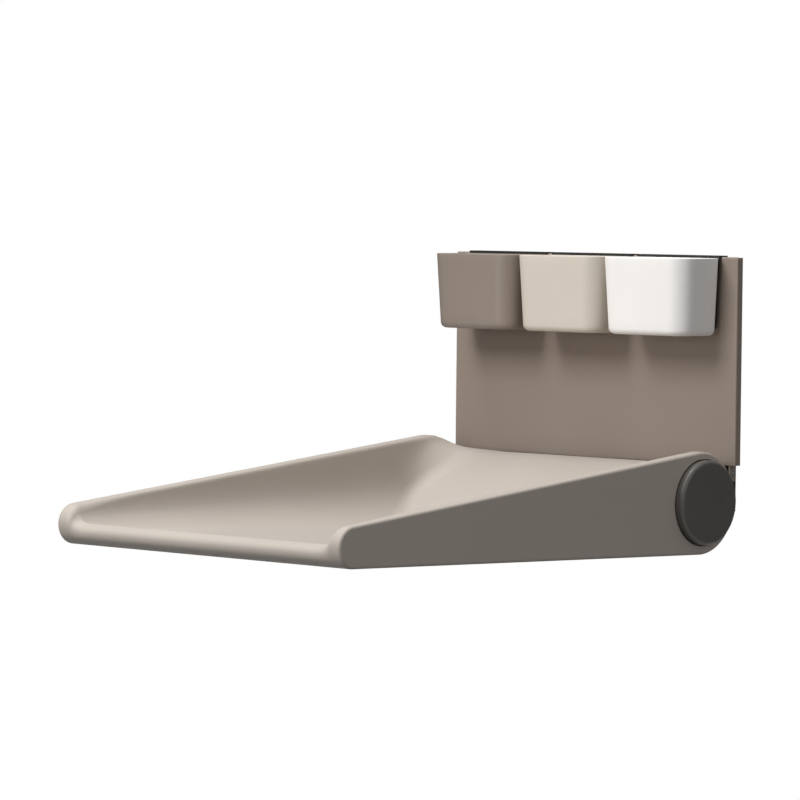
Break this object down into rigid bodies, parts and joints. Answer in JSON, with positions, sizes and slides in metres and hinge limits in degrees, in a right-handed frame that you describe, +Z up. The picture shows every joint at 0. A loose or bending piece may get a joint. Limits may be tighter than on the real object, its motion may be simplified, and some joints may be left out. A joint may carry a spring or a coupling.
{
  "type": "changing table",
  "caption": "Wall-mounted baby changing table: a dished foam tray that folds up against a steel back panel with lift-off storage boxes hooked along its top.",
  "frame": {"origin": "centre of the four wall screw holes, on the wall plane", "axes": "+X to the right as seen from the front, +Y into the wall, so the tray reaches out along -Y, +Z up"},
  "size_m": [0.609, 0.8619, 0.4463],
  "materials": {
    "bracket_black": "satin black powder coat",
    "panel_taupe": "fine matt powder coat",
    "zinc_steel": "zinc plated",
    "shaft_steel": "ground steel",
    "spring_steel": "oiled spring steel",
    "bearing_plastic": "self-lubricating plastic",
    "damper_black": "moulded housing",
    "tray_foam": "matt moulded integral-skin foam",
    "pan_grey": "matt moulded sheet",
    "pad_rubber": "matt rubber",
    "cap_dark": "fine matt moulding",
    "box_taupe": "satin moulding",
    "box_beige": "satin moulding",
    "box_white": "satin moulding"
  },
  "bodies": {
    "wall_unit": {"wall_plate": "bracket_black", "hanger_hooks": "bracket_black", "hinge_arm_left": "bracket_black", "hinge_arm_right": "bracket_black", "arm_bolts": "zinc_steel", "pivot_bush_left": "bearing_plastic", "pivot_bush_right": "bearing_plastic", "damper_left": "damper_black", "damper_right": "damper_black", "damper_screws": "zinc_steel", "back_panel": "panel_taupe", "panel_rails": "panel_taupe", "panel_screws": "zinc_steel"},
    "tray": {"tray_shell": "tray_foam", "torque_tube": "zinc_steel", "frame_rails": "zinc_steel", "frame_gussets": "zinc_steel", "under_pan": "pan_grey", "pan_screws": "zinc_steel", "pivot_shaft_left": "shaft_steel", "pivot_shaft_right": "shaft_steel", "pivot_washers": "shaft_steel", "pivot_clips": "spring_steel", "stop_blocks": "zinc_steel", "stop_pads": "pad_rubber", "stop_screws": "zinc_steel", "cap_left": "cap_dark", "cap_right": "cap_dark"},
    "left_box": {"box_left": "box_taupe", "hook_left": "bracket_black", "rivets_left": "zinc_steel", "bumpers_left": "pad_rubber"},
    "middle_box": {"box_middle": "box_beige", "hook_middle": "bracket_black", "rivets_middle": "zinc_steel", "bumpers_middle": "pad_rubber"},
    "right_box": {"box_right": "box_white", "hook_right": "bracket_black", "rivets_right": "zinc_steel", "bumpers_right": "pad_rubber"}
  },
  "joints": [
    {"name": "tray_fold", "type": "hinge", "parent": "wall_unit", "child": "tray", "pos_m": [0, -0.092, -0.18], "axis": [-1, 0, 0], "range_deg": [0, 88]},
    {"name": "left_box_lift", "type": "slide", "parent": "wall_unit", "child": "left_box", "axis": [0, 0, 1], "range_m": [0, 0.03]},
    {"name": "middle_box_lift", "type": "slide", "parent": "wall_unit", "child": "middle_box", "axis": [0, 0, 1], "range_m": [0, 0.03]},
    {"name": "right_box_lift", "type": "slide", "parent": "wall_unit", "child": "right_box", "axis": [0, 0, 1], "range_m": [0, 0.03]}
  ]
}
